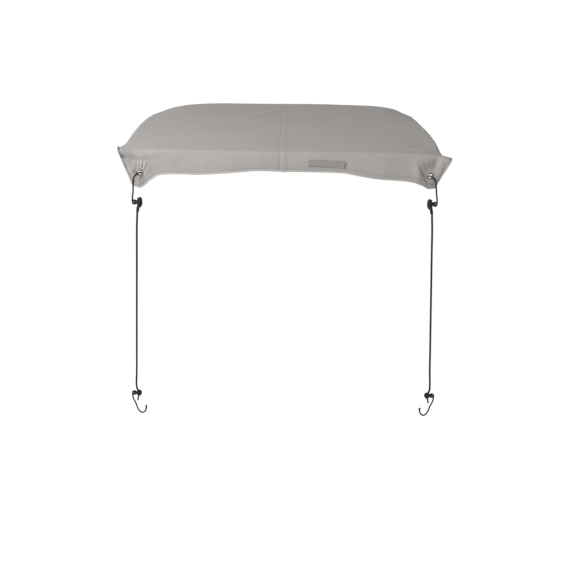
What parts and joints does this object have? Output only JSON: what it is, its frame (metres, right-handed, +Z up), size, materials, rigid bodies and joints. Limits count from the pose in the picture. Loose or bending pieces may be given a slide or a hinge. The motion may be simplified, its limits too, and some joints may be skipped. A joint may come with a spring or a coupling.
{
  "type": "air conditioner cover",
  "caption": "Square coated-cloth cover for the top of an outdoor air conditioner, with short hemmed skirts, eared corners, eyelets and hooked elastic tie-downs.",
  "frame": {"origin": "middle of the underside of the top, where it rests on the cabinet", "axes": "+Z up, -Y towards the front skirt with the label, +X to the right seen from the front"},
  "size_m": [0.7925, 0.7802, 0.6905],
  "materials": {
    "cover_cloth": "matt coated cloth, fine weave",
    "label_cloth": "plain woven tape",
    "eyelet_metal": "bright nickel",
    "hook_coating": "dipped vinyl, satin",
    "elastic_cord": "braided, matt"
  },
  "bodies": {
    "root": {"left_panel": "cover_cloth", "right_panel": "cover_cloth", "back_right_patch": "cover_cloth", "back_left_patch": "cover_cloth", "front_left_eyelet": "eyelet_metal", "front_right_eyelet": "eyelet_metal", "back_right_eyelet": "eyelet_metal", "back_left_eyelet": "eyelet_metal", "label": "label_cloth", "left_upper_hook": "hook_coating", "left_cord": "elastic_cord", "left_lower_hook": "hook_coating", "right_upper_hook": "hook_coating", "right_cord": "elastic_cord", "right_lower_hook": "hook_coating"}
  },
  "joints": []
}
